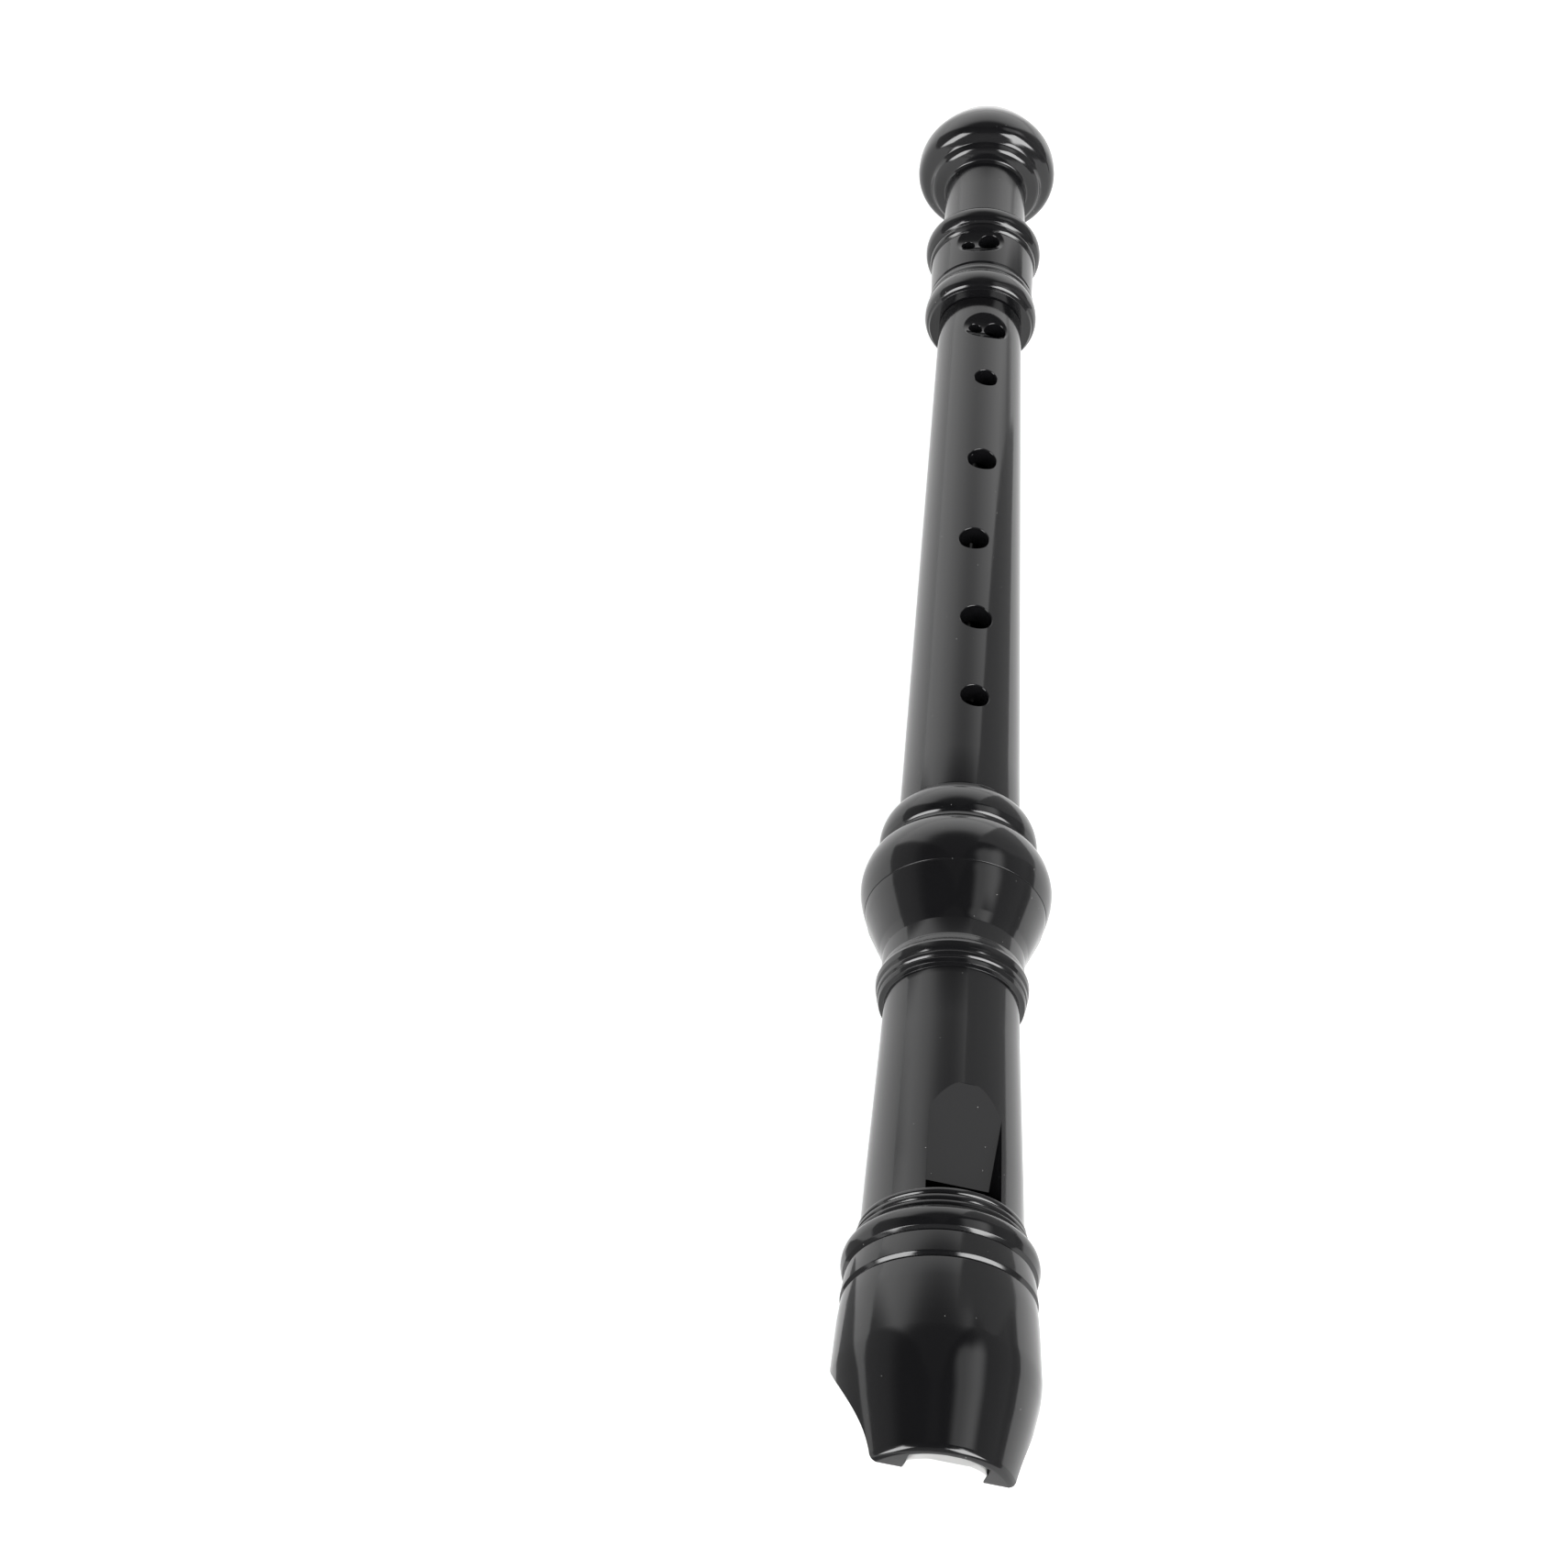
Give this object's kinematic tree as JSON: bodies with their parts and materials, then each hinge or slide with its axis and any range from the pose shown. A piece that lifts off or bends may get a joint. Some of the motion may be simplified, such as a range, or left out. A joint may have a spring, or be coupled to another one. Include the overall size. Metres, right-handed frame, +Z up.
{
  "type": "soprano recorder",
  "caption": "Black moulded plastic soprano recorder in three joints with a white windway block, lying with its tone holes up.",
  "frame": {"origin": "centre of the instrument's box in X and Y, at the height of the surface it lies on", "axes": "+Y along the bore axis from the beak to the foot, +Z up out of the tone holes, +X to the right of a player looking down the instrument"},
  "size_m": [0.0334, 0.33, 0.0333],
  "materials": {
    "black_plastic": "polished mould finish with faint scuffs",
    "white_plastic": "smooth moulded"
  },
  "bodies": {
    "middle": {"middle_joint": "black_plastic"},
    "head": {"beak": "black_plastic", "windway_block": "white_plastic", "head_barrel": "black_plastic", "socket_collar": "black_plastic"},
    "foot": {"foot_joint": "black_plastic"}
  },
  "joints": [
    {"name": "head_pull", "type": "slide", "parent": "middle", "child": "head", "axis": [0, -1, 0], "range_m": [0, 0.022]},
    {"name": "foot_turn", "type": "hinge", "parent": "middle", "child": "foot", "pos_m": [0, 0.11, 0.01667], "axis": [0, 1, 0], "continuous": true}
  ]
}
